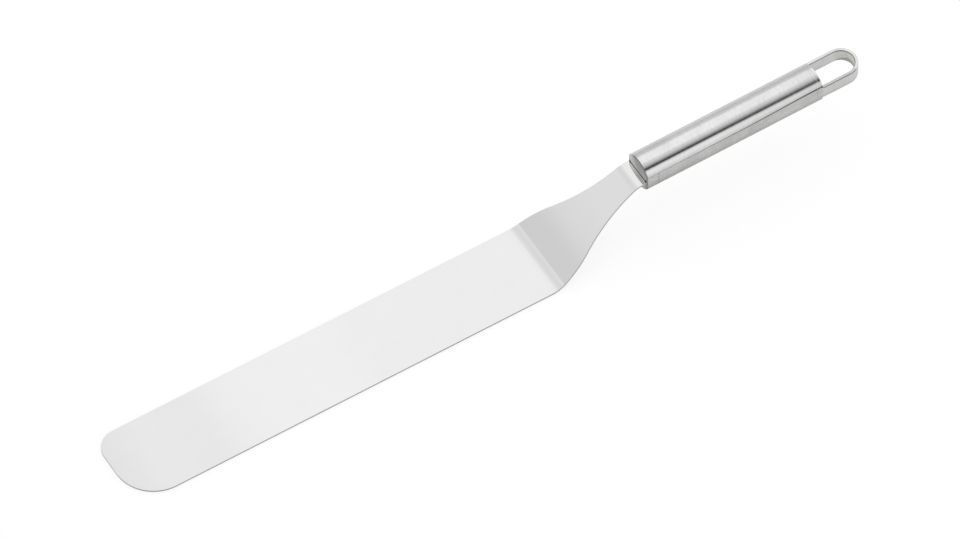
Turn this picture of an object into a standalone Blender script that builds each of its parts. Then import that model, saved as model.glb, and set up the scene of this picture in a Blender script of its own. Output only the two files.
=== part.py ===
"""Offset spatula: a bent steel blade let into a hollow handle with a hanging loop.

Run it with: blender --background --python part.py
Metres, +Z up. +X runs from the blade's tip to the hanging loop, and +Y to the far side.
The origin lies under the middle of the spatula, on the surface that the blade rests on.
"""

import math

import bmesh
import bpy
from mathutils import Vector

MM = 0.001

# Clearances
SEAM_GAP = 0.3 * MM  # between two faces that meet along the handle
SEAT_GAP = 0.3 * MM  # round a spigot or a tang in its seat
CUT_OVERRUN = 2.0 * MM  # how far a cutter passes the face that it opens
WELD_REACH = 0.003 * MM  # points nearer than this are one

# Blade: the flat that spreads, from the tip to the first bend
SHEET_THICKNESS = 1.0 * MM
SHEET_EDGE_ROUND = 0.4 * MM
BLADE_LENGTH = 221.6 * MM
BLADE_WIDTH = 41.2 * MM
TIP_FAR_RADIUS = 10.0 * MM
TIP_NEAR_RADIUS = 20.0 * MM

# Neck: the rise between the two bends, and its outline of two tangent arcs
NECK_ANGLE = math.radians(29.8)
FIRST_BEND_RADIUS = 14.5 * MM  # to the middle of the sheet, as is the second
SECOND_BEND_RADIUS = 11.8 * MM
NECK_LEAD = 1.5 * MM  # straight stretch between the second bend and the cap
NECK_INSET = 0.5 * MM  # how much narrower the neck is than the cap, on each side
NECK_PARALLEL = 3.2 * MM  # length at the cap over which the neck keeps its width
SHOULDER_EARLY = 0.1 * MM  # how far before the first bend the shoulder starts
SHOULDER_SHARE = 0.39  # the convex arc's share of the two radii

# Tang: the tongue that the front cap holds
TANG_LENGTH = 7.0 * MM
TANG_SIDE_GAP = 0.5 * MM  # between the tang's edge and the wall of the cap's pocket

# Handle: a round tube pressed flat on both sides, closed by two caps
HANDLE_HEIGHT = 29.55 * MM  # of the axis, where the neck enters
HANDLE_TILT = math.radians(0.84)
HANDLE_DIAMETER = 18.2 * MM
HANDLE_WALL = 0.8 * MM
BARREL_LENGTH = 86.9 * MM
FLAT_DEPTH = 1.05 * MM  # of each flat below the round, at the front
FLAT_DEPTH_REAR = 1.35 * MM
PINCH_LENGTH = 42.0 * MM  # over which the flats deepen towards the rear
FLAT_CORNER_RADIUS = 0.5 * MM
FRONT_CAP_LENGTH = 6.3 * MM
FRONT_CAP_FACE = 2.2 * MM  # thickness of the face that the tang passes through
REAR_CAP_LENGTH = 2.75 * MM
REAR_CAP_FACE = 2.0 * MM
CAP_WALL = 1.4 * MM  # of each spigot, round its pocket
SPIGOT_LENGTH = 3.5 * MM
CAP_RIM_ROUND = 0.6 * MM

# Hanging loop: a flat strip bent to a U and butted on the rear cap
STRIP_THICKNESS = 2.3 * MM
STRIP_HEIGHT = 6.8 * MM
STRIP_EDGE_ROUND = 0.3 * MM
LOOP_PROUD = 0.8 * MM  # how far the strip stands outside the rear cap's flats
LOOP_REACH = 22.85 * MM  # from the rear cap's face to the outside of the bend
LOOP_LIFT = 0.65 * MM  # of the strip's middle above the handle's axis

# Facets
TIP_STEPS = 9
BEND_STEPS = 8
SHOULDER_STEPS = 16
CROWN_STEPS = 8
CORNER_STEPS = 3
PINCH_STEPS = 6
LOOP_STEPS = 24
EDGE_SEGMENTS = 2
RIM_SEGMENTS = 3
SMOOTH_ANGLE = math.radians(30)
SHARP_EDGE_ANGLE = math.radians(60)
ROUND_PROFILE_SHARE = 0.5

# Sizes that follow from those above
HANDLE_RADIUS = HANDLE_DIAMETER / 2
FLAT_FRONT = HANDLE_RADIUS - FLAT_DEPTH  # from the axis to the flat
FLAT_REAR = HANDLE_RADIUS - FLAT_DEPTH_REAR
NECK_HALF_WIDTH = FLAT_FRONT - NECK_INSET
SPIGOT_INSET = HANDLE_WALL + SEAT_GAP  # from the handle's outside to a spigot's
POCKET_INSET = SPIGOT_INSET + CAP_WALL
TANG_HALF_WIDTH = FLAT_FRONT - POCKET_INSET - TANG_SIDE_GAP
HANDLE_LENGTH = FRONT_CAP_LENGTH + BARREL_LENGTH + REAR_CAP_LENGTH + 2 * SEAM_GAP


def clear_scene():
    for old in list(bpy.data.objects):
        bpy.data.objects.remove(old)


def new_collection(name):
    collection = bpy.data.collections.new(name)
    bpy.context.scene.collection.children.link(collection)
    return collection


def steel(name, grey, roughness):
    """A bare stainless steel of the given grey."""
    material = bpy.data.materials.new(name)
    material.use_nodes = True
    shader = material.node_tree.nodes["Principled BSDF"]
    shader.inputs["Base Color"].default_value = (grey, grey, grey, 1)
    shader.inputs["Metallic"].default_value = 1
    shader.inputs["Roughness"].default_value = roughness
    return material


def new_object(name, mesh, collection, parent):
    made = bpy.data.objects.new(name, mesh)
    collection.objects.link(made)
    made.parent = parent
    return made


def hide_cutter(cutter):
    cutter.hide_render = True
    cutter.display_type = "WIRE"


def finish_piece(piece, material):
    """Gives a piece its material and smooth shading with sharp edges kept."""
    piece.data.materials.append(material)
    piece.data.shade_smooth()
    piece.data.set_sharp_from_angle(angle=SMOOTH_ANGLE)


def add_row(shape, points):
    return [shape.verts.new(point) for point in points]


def skin(shape, rows, closed):
    """Faces between neighbouring rows of equal point counts."""
    count = len(rows[0])
    for before, after in zip(rows, rows[1:]):
        for here in range(count if closed else count - 1):
            there = (here + 1) % count
            shape.faces.new((before[here], after[here], after[there], before[there]))


def mesh_from(shape, name):
    mesh = bpy.data.meshes.new(name)
    shape.to_mesh(mesh)
    shape.free()
    return mesh


def plate(name, outline, thickness, collection, parent):
    """A flat outline, filled and given its thickness both ways, as a welded mesh."""
    curve = bpy.data.curves.new(name, "CURVE")
    curve.dimensions = "2D"
    curve.fill_mode = "BOTH"
    curve.extrude = thickness / 2
    spline = curve.splines.new("POLY")
    spline.points.add(len(outline) - 1)
    for point, (across, along) in zip(spline.points, outline):
        point.co = (across, along, 0, 1)
    spline.use_cyclic_u = True
    drawn = bpy.data.objects.new(name + "_outline", curve)
    bpy.context.scene.collection.objects.link(drawn)
    graph = bpy.context.evaluated_depsgraph_get()
    mesh = bpy.data.meshes.new_from_object(drawn.evaluated_get(graph))
    bpy.data.objects.remove(drawn)
    shape = bmesh.new()
    shape.from_mesh(mesh)
    bmesh.ops.remove_doubles(shape, verts=shape.verts, dist=WELD_REACH)
    bmesh.ops.recalc_face_normals(shape, faces=shape.faces)
    shape.to_mesh(mesh)
    shape.free()
    mesh.name = name
    return new_object(name, mesh, collection, parent)


def add_solidify(piece, thickness, offset):
    modifier = piece.modifiers.new("thickness", "SOLIDIFY")
    modifier.thickness = thickness
    modifier.offset = offset
    modifier.use_even_offset = True


def add_bevel(piece, width, segments):
    modifier = piece.modifiers.new("rounded_edges", "BEVEL")
    modifier.width = width
    modifier.segments = segments
    modifier.limit_method = "ANGLE"
    modifier.angle_limit = SHARP_EDGE_ANGLE


def add_boolean(piece, operation, other):
    modifier = piece.modifiers.new(operation.lower(), "BOOLEAN")
    modifier.operation = operation
    modifier.solver = "EXACT"
    modifier.object = other


def round_end(piece, side, radius):
    """Rounds the rim of a cap at the end of its local Z that side names, 1 or -1."""
    shape = bmesh.new()
    shape.from_mesh(piece.data)
    end = max(side * point.co.z for point in shape.verts)
    at_end = [e for e in shape.edges if all(side * p.co.z > end - WELD_REACH for p in e.verts)]
    rim = [e for e in at_end if e.calc_face_angle() > SHARP_EDGE_ANGLE]
    bmesh.ops.bevel(
        shape,
        geom=rim,
        offset=radius,
        segments=RIM_SEGMENTS,
        profile=ROUND_PROFILE_SHARE,
        affect="EDGES",
    )
    shape.to_mesh(piece.data)
    shape.free()


# The bent sheet


def tip_edge(along, radius):
    """Half width of the blade at a distance from its tip, on the side of that corner."""
    half = BLADE_WIDTH / 2
    if along >= radius:
        return half
    return half - radius + math.sqrt(radius**2 - (radius - along) ** 2)


class BentSheet:
    """The sheet's path from the first bend to the cap, by length along the sheet's middle."""

    def __init__(self):
        middle = SHEET_THICKNESS / 2
        turn_back = NECK_ANGLE - HANDLE_TILT
        self.first_arc = FIRST_BEND_RADIUS * NECK_ANGLE
        self.second_arc = SECOND_BEND_RADIUS * turn_back
        first_rise = FIRST_BEND_RADIUS * (1 - math.cos(NECK_ANGLE))
        second_rise = SECOND_BEND_RADIUS * (math.cos(HANDLE_TILT) - math.cos(NECK_ANGLE))
        lead_rise = NECK_LEAD * math.sin(HANDLE_TILT)
        slope_rise = HANDLE_HEIGHT - middle - first_rise - second_rise - lead_rise
        self.slope = slope_rise / math.sin(NECK_ANGLE)
        self.length = self.first_arc + self.slope + self.second_arc + NECK_LEAD
        self.start = Vector((BLADE_LENGTH, middle))
        self.slope_start = self.start + Vector((FIRST_BEND_RADIUS * math.sin(NECK_ANGLE), first_rise))
        self.slope_end = self.slope_start + self.slope * self.heading(NECK_ANGLE)
        second_run = SECOND_BEND_RADIUS * (math.sin(NECK_ANGLE) - math.sin(HANDLE_TILT))
        self.lead_start = self.slope_end + Vector((second_run, second_rise))

    @staticmethod
    def heading(angle):
        return Vector((math.cos(angle), math.sin(angle)))

    def place(self, along):
        """The point (x, z) of the sheet's middle at a length past the first bend's start."""
        if along <= 0:
            return self.start + along * self.heading(0)
        if along < self.first_arc:
            angle = along / FIRST_BEND_RADIUS
            return self.start + FIRST_BEND_RADIUS * Vector((math.sin(angle), 1 - math.cos(angle)))
        past = along - self.first_arc
        if past < self.slope:
            return self.slope_start + past * self.heading(NECK_ANGLE)
        past = past - self.slope
        if past < self.second_arc:
            angle = NECK_ANGLE - past / SECOND_BEND_RADIUS
            run = math.sin(NECK_ANGLE) - math.sin(angle)
            rise = math.cos(angle) - math.cos(NECK_ANGLE)
            return self.slope_end + SECOND_BEND_RADIUS * Vector((run, rise))
        past = past - self.second_arc
        return self.lead_start + past * self.heading(HANDLE_TILT)

    def half_width(self, along):
        """Two tangent arcs that lead from the blade's half width to the neck's."""
        wide = BLADE_WIDTH / 2
        drop = wide - NECK_HALF_WIDTH
        run = self.length - NECK_PARALLEL + SHOULDER_EARLY
        past = along + SHOULDER_EARLY
        if past <= 0:
            return wide
        if past >= run:
            return NECK_HALF_WIDTH
        turn = 2 * math.atan(drop / run)
        radii = run / math.sin(turn)
        convex = SHOULDER_SHARE * radii
        concave = radii - convex
        if past < convex * math.sin(turn):
            return wide - convex + math.sqrt(convex**2 - past**2)
        return NECK_HALF_WIDTH + concave - math.sqrt(concave**2 - (run - past) ** 2)

    def stations(self):
        """Lengths at which the sheet gets a row of points, from the shoulder to the cap."""
        bends = (
            (0, self.first_arc, BEND_STEPS),
            (self.first_arc + self.slope, self.length - NECK_LEAD, BEND_STEPS),
            (-SHOULDER_EARLY, self.length - NECK_PARALLEL, 2 * SHOULDER_STEPS),
        )
        found = {start + (end - start) * i / steps for start, end, steps in bends for i in range(steps + 1)}
        found.add(self.length - SEAM_GAP)
        apart = SHEET_THICKNESS / 2
        kept = []
        for along in sorted(found):
            if not kept or along - kept[-1] > apart:
                kept.append(along)
        return kept


def sheet_row(x, z, far, near):
    """Points across the sheet, from its near edge to its far one, with the tang's edges among them."""
    middle = (far - near) / 2
    half = (far + near) / 2
    tang_half = half * TANG_HALF_WIDTH / NECK_HALF_WIDTH
    return [(x, middle + y, z) for y in (-half, -tang_half, 0, tang_half, half)]


def make_blade(path, collection, parent, material):
    """Blade, neck and tang: one stamped sheet, bent twice."""
    sheet = bmesh.new()
    rows = []
    for step in range(TIP_STEPS + 1):
        angle = math.pi / 2 * step / TIP_STEPS
        x = TIP_NEAR_RADIUS * (1 - math.cos(angle))
        far, near = tip_edge(x, TIP_FAR_RADIUS), tip_edge(x, TIP_NEAR_RADIUS)
        rows.append(add_row(sheet, sheet_row(x, SHEET_THICKNESS / 2, far, near)))
    for along in path.stations():
        x, z = path.place(along)
        half = path.half_width(along)
        rows.append(add_row(sheet, sheet_row(x, z, half, half)))
    skin(sheet, rows, closed=False)
    x, z = path.place(path.length + TANG_LENGTH)
    tongue_end = add_row(sheet, [(x, y, z) for y in (-TANG_HALF_WIDTH, 0, TANG_HALF_WIDTH)])
    skin(sheet, (rows[-1][1:-1], tongue_end), closed=False)
    blade = new_object("blade", mesh_from(sheet, "blade"), collection, parent)
    add_solidify(blade, SHEET_THICKNESS, 0)
    add_bevel(blade, SHEET_EDGE_ROUND, EDGE_SEGMENTS)
    finish_piece(blade, material)


# The handle


def handle_section(radius, flat, corner):
    """Outline (y, z) of a round cut by a flat on each side, with the flats' corners rounded."""
    across = flat - corner
    up = math.sqrt((radius - corner) ** 2 - across**2)
    meet = math.atan2(across, up)
    quarter = []
    for step in range(CROWN_STEPS):
        angle = meet * step / CROWN_STEPS
        quarter.append((radius * math.sin(angle), radius * math.cos(angle)))
    for step in range(CORNER_STEPS + 1):
        angle = meet + (math.pi / 2 - meet) * step / CORNER_STEPS
        quarter.append((across + corner * math.sin(angle), up + corner * math.cos(angle)))
    lower = [(y, -z) for y, z in reversed(quarter)]
    right = quarter + lower
    left = [(-y, z) for y, z in reversed(right[1:-1])]
    return right + left


def barrel_flat(along):
    """Distance from the axis to the flats, which deepen smoothly over the pinched end."""
    past = max(0, along - (BARREL_LENGTH - PINCH_LENGTH)) / PINCH_LENGTH
    return FLAT_FRONT - (FLAT_FRONT - FLAT_REAR) * math.sin(past * math.pi / 2) ** 2


def make_barrel(collection, parent, material):
    """The tube: its outer skin lofted along X, with the wall turned inwards."""
    start = BARREL_LENGTH - PINCH_LENGTH
    places = [0] + [start + PINCH_LENGTH * i / PINCH_STEPS for i in range(PINCH_STEPS + 1)]
    tube = bmesh.new()
    rings = []
    for along in places:
        outline = handle_section(HANDLE_RADIUS, barrel_flat(along), FLAT_CORNER_RADIUS)
        rings.append(add_row(tube, [(along, y, z) for y, z in outline]))
    skin(tube, rings, closed=True)
    barrel = new_object("handle_barrel", mesh_from(tube, "handle_barrel"), collection, parent)
    barrel.location.x = FRONT_CAP_LENGTH + SEAM_GAP
    add_solidify(barrel, HANDLE_WALL, -1)
    finish_piece(barrel, material)


def make_cap(name, flat, length, face, outward, collections, parent):
    """A plug: a head that carries on the barrel's outline, and a hollow spigot inside the tube.

    Outward is the way its face looks along the handle, 1 or -1. The pieces come back in order: head,
    spigot and pocket, all with the head's middle at the parent's origin.
    """
    parts, cutters = collections
    corner = FLAT_CORNER_RADIUS
    head = plate(name, handle_section(HANDLE_RADIUS, flat, corner), length, parts, parent)
    round_end(head, outward, CAP_RIM_ROUND)
    inner = SEAM_GAP + SPIGOT_LENGTH + length / 2
    outline = handle_section(HANDLE_RADIUS - SPIGOT_INSET, flat - SPIGOT_INSET, corner)
    spigot = plate(name + "_spigot", outline, inner, cutters, parent)
    deep = inner + length / 2 - face + CUT_OVERRUN
    outline = handle_section(HANDLE_RADIUS - POCKET_INSET, flat - POCKET_INSET, corner)
    pocket = plate(name + "_pocket", outline, deep, cutters, parent)
    spigot.location.x = -outward * inner / 2
    pocket.location.x = outward * (length / 2 - face - deep / 2)
    add_boolean(head, "UNION", spigot)
    add_boolean(head, "DIFFERENCE", pocket)
    for cutter in (spigot, pocket):
        hide_cutter(cutter)
    for piece in (head, spigot, pocket):
        piece.rotation_euler = (math.pi / 2, 0, math.pi / 2)
    return head, spigot, pocket


def shift_along(pieces, distance):
    for piece in pieces:
        piece.location.x = piece.location.x + distance


def make_front_cap(collections, parent, material):
    pieces = make_cap("front_cap", FLAT_FRONT, FRONT_CAP_LENGTH, FRONT_CAP_FACE, -1, collections, parent)
    shift_along(pieces, FRONT_CAP_LENGTH / 2)
    deep = FRONT_CAP_FACE + 2 * CUT_OVERRUN
    wide = 2 * (TANG_HALF_WIDTH + SEAT_GAP)
    high = SHEET_THICKNESS + 2 * SEAT_GAP
    outline = [(-wide / 2, -high / 2), (wide / 2, -high / 2), (wide / 2, high / 2), (-wide / 2, high / 2)]
    slot = plate("tang_slot", outline, deep, collections[1], parent)
    slot.rotation_euler = (math.pi / 2, 0, math.pi / 2)
    slot.location.x = FRONT_CAP_FACE / 2
    hide_cutter(slot)
    add_boolean(pieces[0], "DIFFERENCE", slot)
    finish_piece(pieces[0], material)


def make_rear_cap(collections, parent, material):
    pieces = make_cap("rear_cap", FLAT_REAR, REAR_CAP_LENGTH, REAR_CAP_FACE, 1, collections, parent)
    shift_along(pieces, HANDLE_LENGTH - REAR_CAP_LENGTH / 2)
    finish_piece(pieces[0], material)


def loop_outline(half, reach):
    """One side of the bent strip, from the cap round the bend and back to the cap."""
    straight = reach - half
    arc = [math.pi / 2 - math.pi * i / LOOP_STEPS for i in range(LOOP_STEPS + 1)]
    bend = [(straight + half * math.cos(a), half * math.sin(a)) for a in arc]
    return [(SEAM_GAP, half)] + bend + [(SEAM_GAP, -half)]


def make_loop(collection, parent, material):
    outside = FLAT_REAR + LOOP_PROUD
    inside = outside - STRIP_THICKNESS
    outline = loop_outline(outside, LOOP_REACH)
    outline = outline + list(reversed(loop_outline(inside, LOOP_REACH - STRIP_THICKNESS)))
    loop = plate("hanging_loop", outline, STRIP_HEIGHT, collection, parent)
    loop.location = (HANDLE_LENGTH, 0, LOOP_LIFT)
    add_bevel(loop, STRIP_EDGE_ROUND, EDGE_SEGMENTS)
    finish_piece(loop, material)


def main():
    clear_scene()
    parts = new_collection("offset_spatula")
    cutters = new_collection("cutters")
    path = BentSheet()
    cap_x, cap_z = path.place(path.length)

    # The spatula's reach along X, to its furthest point at the foot of the loop's bend
    below = STRIP_HEIGHT / 2 - LOOP_LIFT
    reach = (HANDLE_LENGTH + LOOP_REACH) * math.cos(HANDLE_TILT) + below * math.sin(HANDLE_TILT)
    overall = cap_x + reach

    base = bpy.data.objects.new("spatula_base", None)
    parts.objects.link(base)
    base.location.x = -overall / 2
    axis = bpy.data.objects.new("handle_axis", None)
    parts.objects.link(axis)
    axis.parent = base
    axis.location = (cap_x, 0, cap_z)
    axis.rotation_euler = (0, -HANDLE_TILT, 0)

    make_blade(path, parts, base, steel("blade_steel", 0.66, 0.22))
    make_front_cap((parts, cutters), axis, steel("cap_steel", 0.58, 0.3))
    make_barrel(parts, axis, steel("handle_steel", 0.6, 0.3))
    make_rear_cap((parts, cutters), axis, steel("rear_cap_steel", 0.6, 0.32))
    make_loop(parts, axis, steel("loop_steel", 0.58, 0.3))


main()
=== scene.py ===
"""Looks of a long offset spatula in stainless steel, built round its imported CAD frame.

The blade with its bent neck, the flat-sided handle and the hanging loop are each a class that
holds its sizes, builds its meshes and dresses them. Metres, +Z up, +X towards the loop.
"""

import logging
import math
from dataclasses import dataclass, field
from enum import Enum, IntEnum
from typing import Callable, Iterable, Sequence

import bmesh
import bpy
from mathutils import Euler, Matrix, Vector


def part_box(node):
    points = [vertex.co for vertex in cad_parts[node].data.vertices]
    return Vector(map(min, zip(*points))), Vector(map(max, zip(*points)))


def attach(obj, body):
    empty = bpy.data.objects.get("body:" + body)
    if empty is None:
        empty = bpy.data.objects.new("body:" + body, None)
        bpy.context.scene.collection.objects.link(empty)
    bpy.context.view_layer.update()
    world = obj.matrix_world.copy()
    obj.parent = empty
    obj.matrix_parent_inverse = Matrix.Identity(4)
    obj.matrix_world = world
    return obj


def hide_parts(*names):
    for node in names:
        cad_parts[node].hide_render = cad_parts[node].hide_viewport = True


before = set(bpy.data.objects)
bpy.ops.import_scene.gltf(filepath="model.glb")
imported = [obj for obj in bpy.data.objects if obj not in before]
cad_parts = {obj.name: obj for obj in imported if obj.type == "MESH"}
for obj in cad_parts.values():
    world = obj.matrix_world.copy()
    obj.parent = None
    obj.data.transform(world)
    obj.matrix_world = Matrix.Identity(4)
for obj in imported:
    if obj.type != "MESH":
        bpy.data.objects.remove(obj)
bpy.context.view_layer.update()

LOG = logging.getLogger("offset_spatula")
MM = 0.001
BODY = "root"
# Points of a mesh that are nearer than this become one.
MERGE_GAP = 0.004 * MM
# Edges that turn more than this stay sharp, and the sheet's cut edges are found by the larger one.
SMOOTH_ANGLE = math.radians(40)
SHARP_EDGE_ANGLE = math.radians(60)
# The most that a large face may count for against its small neighbours.
LARGE_FACE_WEIGHT = 100

Point2 = tuple[float, float]
Point3 = tuple[float, float, float]
Colour = tuple[float, float, float, float]
Skins = tuple[bpy.types.Material, ...]


# Small tools


def linear(hex_colour: str) -> Colour:
    """Turns an sRGB hex colour into the linear colour that a shader takes.

    Args:
        hex_colour: six hex digits after a hash sign.

    Returns:
        Red, green, blue and a full alpha, linear.
    """
    values = []
    for start in (1, 3, 5):
        share = int(hex_colour[start : start + 2], 16) / 255
        values.append(share / 12.92 if share <= 0.04045 else ((share + 0.055) / 1.055) ** 2.4)
    return (values[0], values[1], values[2], 1.0)


def add_node(
    tree: bpy.types.NodeTree, kind: str, settings: dict | None = None, links: dict | None = None
) -> bpy.types.Node:
    """Adds a node with its settings and its links.

    Args:
        tree: the node tree that takes the node.
        kind: the node's type, such as ShaderNodeMath.
        settings: attributes of the node, or its input sockets' values, by name or number.
        links: output sockets that feed the node's inputs, by the input's name or number.

    Returns:
        The new node.
    """
    node = tree.nodes.new(kind)
    for name, value in (settings or {}).items():
        if isinstance(name, str) and hasattr(node, name):
            setattr(node, name, value)
        else:
            node.inputs[name].default_value = value
    for name, source in (links or {}).items():
        tree.links.new(source, node.inputs[name])
    return node


def loft(
    rows: Sequence[Sequence[Vector]], capped: bool, skin: Callable[[int, int], int]
) -> bmesh.types.BMesh:
    """Joins closed rings of equal point counts into a skin.

    Args:
        rows: the rings, each a sequence of points.
        capped: whether the first and last ring are filled.
        skin: gives the material number of a face by its row and its column.

    Returns:
        The mesh under construction, with its faces turned outwards.
    """
    shape = bmesh.new()
    rings = [[shape.verts.new(point) for point in row] for row in rows]
    count = len(rings[0])
    for row, (before, after) in enumerate(zip(rings, rings[1:])):
        for here in range(count):
            there = (here + 1) % count
            face = shape.faces.new((before[here], before[there], after[there], after[here]))
            face.material_index = skin(row, here)
    if capped:
        shape.faces.new(list(reversed(rings[0])))
        end = shape.faces.new(rings[-1])
        end.material_index = skin(len(rings) - 1, 0)
    bmesh.ops.recalc_face_normals(shape, faces=shape.faces)
    return shape


def new_piece(
    name: str, shape: bmesh.types.BMesh, skins: Iterable[bpy.types.Material], place: Matrix
) -> bpy.types.Object:
    """Makes an object of a mesh under construction.

    Args:
        name: the piece's name.
        shape: the mesh under construction, which is freed.
        skins: the materials, in the order of the faces' numbers.
        place: where the piece's own frame stands.

    Returns:
        The piece, shaded smooth up to the angle at which an edge stays sharp.
    """
    mesh = bpy.data.meshes.new(name)
    shape.to_mesh(mesh)
    shape.free()
    for skin in skins:
        mesh.materials.append(skin)
    mesh.shade_smooth()
    mesh.set_sharp_from_angle(angle=SMOOTH_ANGLE)
    piece = bpy.data.objects.new(name, mesh)
    bpy.context.scene.collection.objects.link(piece)
    piece.matrix_world = place
    return piece


def even_shading(piece: bpy.types.Object) -> None:
    """Lets a piece's large faces set the normals, so that flats reflect as flats.

    Args:
        piece: the piece in its place.
    """
    modifier = piece.modifiers.new("even_shading", "WEIGHTED_NORMAL")
    modifier.keep_sharp = True
    modifier.weight = LARGE_FACE_WEIGHT


def enter(piece: bpy.types.Object, slot: str, *nodes: str) -> None:
    """Puts a finished piece on the body, hides the CAD nodes that it stands for and logs its slot.

    Args:
        piece: the piece in its place.
        slot: the name of its material slot, which is only logged.
        nodes: the CAD nodes that it replaces.
    """
    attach(piece, BODY)
    if nodes:
        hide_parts(*nodes)
    faces = len(piece.data.polygons)
    LOG.info("%s: %d faces, slot %s, stands for %s", piece.name, faces, slot, nodes or "no node")


@dataclass(frozen=True)
class LevelTable:
    """Grey levels at some places of a span, with an even slope from each to the next."""

    span: Point2
    levels: tuple[Point2, ...]

    def lay_over(
        self, tree: bpy.types.NodeTree, source: bpy.types.NodeSocket
    ) -> bpy.types.NodeSocket:
        """Lays the levels over a value.

        Args:
            tree: the node tree.
            source: the socket that gives the value, which runs over the span.

        Returns:
            The socket that gives the level.
        """
        low, high = self.span
        share_settings = {"From Min": low, "From Max": high}
        share = add_node(tree, "ShaderNodeMapRange", share_settings, {"Value": source}).outputs[0]
        ramp = add_node(tree, "ShaderNodeValToRGB", None, {"Fac": share})
        stops = ramp.color_ramp.elements
        while len(stops) > 1:
            stops.remove(stops[-1])
        for number, (value, level) in enumerate(self.levels):
            place = (value - low) / (high - low)
            stop = stops[0] if number == 0 else stops.new(place)
            stop.position = place
            stop.color = (level, level, level, 1)
        return ramp.outputs["Color"]


# Finishes

# A noise texture stays mostly between these levels.
NOISE_SPAN = {"From Min": 0.3, "From Max": 0.7}
# How many finer layers the streaks and the slow clouds of a finish have.
STREAK_DETAIL = 3.0
CLOUD_DETAIL = 2.0
# A quarter of a turn lays the stretch of a highlight along the handle.
HIGHLIGHT_TURN = 0.25


class Grain(Enum):
    """Which way the fine lines of a finish run, as the spread of a pattern along X, Y and Z in mm.

    The real lines of a belt or a wheel are a tenth of a millimetre wide or finer, and a pixel of
    the render is about half a millimetre. So they are drawn 0.35 to 0.9 mm wide, as coarse as
    they need to be to show.
    """

    ALONG = (40.0, 0.35, 0.35)
    SHORT_ALONG = (3.5, 0.9, 0.9)
    AROUND = (0.9, 3.2, 3.2)
    ACROSS = (0.6, 12.0, 0.6)


@dataclass(frozen=True)
class Fade:
    """A slow darkening of a finish across its piece.

    The level falls from 1 at the span's start to `level` at its end, both measured along `way`.
    """

    way: Point3
    span: Point2
    level: float


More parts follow.
